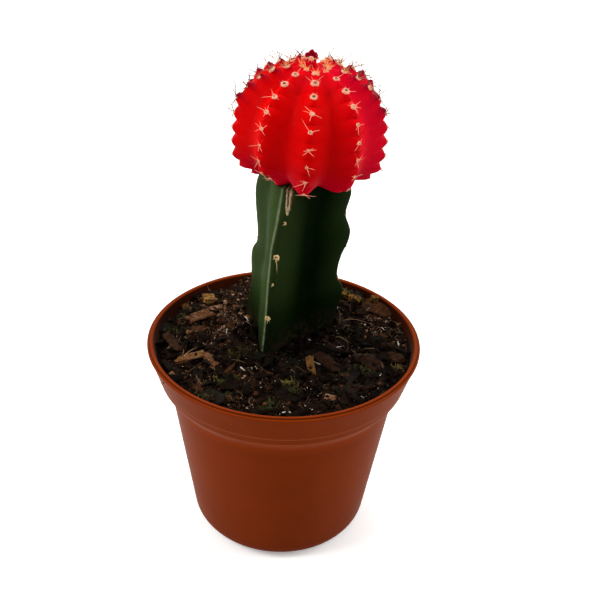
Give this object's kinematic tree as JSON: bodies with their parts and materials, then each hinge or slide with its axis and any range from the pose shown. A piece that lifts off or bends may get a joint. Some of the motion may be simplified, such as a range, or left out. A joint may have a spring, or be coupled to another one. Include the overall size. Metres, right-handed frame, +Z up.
{
  "type": "potted moon cactus",
  "caption": "Small grafted cactus: a red ribbed globe with short spines on a green three-ribbed stem, standing in bark-based soil in a tapered plastic pot.",
  "frame": {"origin": "centre of the pot's foot, on the surface it stands on", "axes": "+Z up, -Y towards the side that faces the viewer, +X to the viewer's right"},
  "size_m": [0.085, 0.085, 0.156],
  "materials": {
    "pot": "satin terracotta-brown moulded plastic",
    "soil": "moist near-black potting mix of composted bark",
    "rootstock": "waxy green plant skin, satin",
    "scion": "waxy red plant skin, satin"
  },
  "bodies": {
    "root": {"pot": "pot", "soil": "soil", "rootstock": "rootstock", "scion": "scion"}
  },
  "joints": []
}
